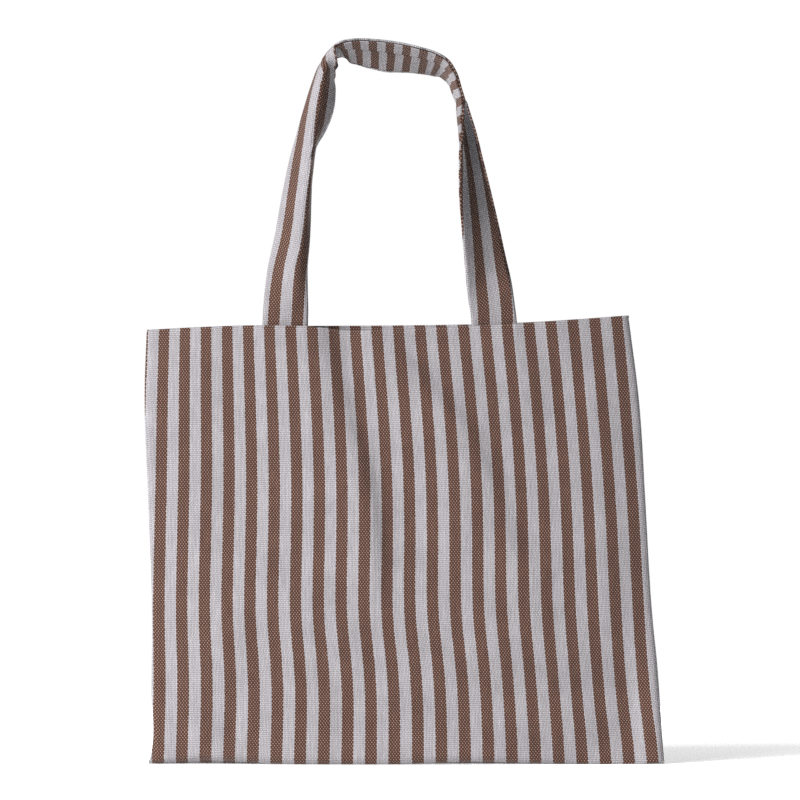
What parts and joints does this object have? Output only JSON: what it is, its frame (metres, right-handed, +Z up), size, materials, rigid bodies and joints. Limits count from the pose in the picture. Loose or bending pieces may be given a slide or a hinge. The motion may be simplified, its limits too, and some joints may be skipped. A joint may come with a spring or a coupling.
{
  "type": "canvas tote bag",
  "caption": "Flat striped canvas tote bag with a turned hem and two long twisted two-ply handles sewn inside its mouth.",
  "frame": {"origin": "middle of the base, on the surface it stands on", "axes": "+Z up towards the mouth and handles, -Y towards the front, +X to the right seen from the front"},
  "size_m": [0.411, 0.0732, 0.58],
  "materials": {
    "body_canvas": "coarse plain weave, brown and pale grey stripes",
    "handle_canvas": "coarse plain weave, brown and pale grey stripes",
    "sewing_thread": "matt spun thread"
  },
  "bodies": {
    "back": {"back_panel": "body_canvas", "back_hem": "body_canvas", "left_side_seam": "body_canvas", "right_side_seam": "body_canvas", "base_fold": "body_canvas", "back_hem_stitching": "sewing_thread", "back_handle_left_end": "handle_canvas", "back_handle_right_end": "handle_canvas", "back_left_box_stitch": "sewing_thread", "back_right_box_stitch": "sewing_thread"},
    "front": {"front_panel": "body_canvas", "front_hem": "body_canvas", "front_hem_stitching": "sewing_thread", "front_handle_left_end": "handle_canvas", "front_handle_right_end": "handle_canvas", "front_left_box_stitch": "sewing_thread", "front_right_box_stitch": "sewing_thread"},
    "front_handle": {"front_handle_facing": "handle_canvas", "front_handle_lining": "handle_canvas"},
    "back_handle": {"back_handle_facing": "handle_canvas", "back_handle_lining": "handle_canvas"}
  },
  "joints": [
    {"name": "mouth_opens", "type": "hinge", "parent": "back", "child": "front", "pos_m": [0, -0.013, 0.002], "axis": [1, 0, 0], "range_deg": [0, 8], "stiffness_Nm_per_rad": 1},
    {"name": "front_handle_folds", "type": "hinge", "parent": "front", "child": "front_handle", "pos_m": [0, -0.0132, 0.3539], "axis": [0.9995, 0, 0.0313], "range_deg": [0, 165]},
    {"name": "back_handle_folds", "type": "hinge", "parent": "back", "child": "back_handle", "pos_m": [0, 0.0132, 0.3539], "axis": [-0.9995, 0, -0.0313], "range_deg": [0, 165]}
  ]
}
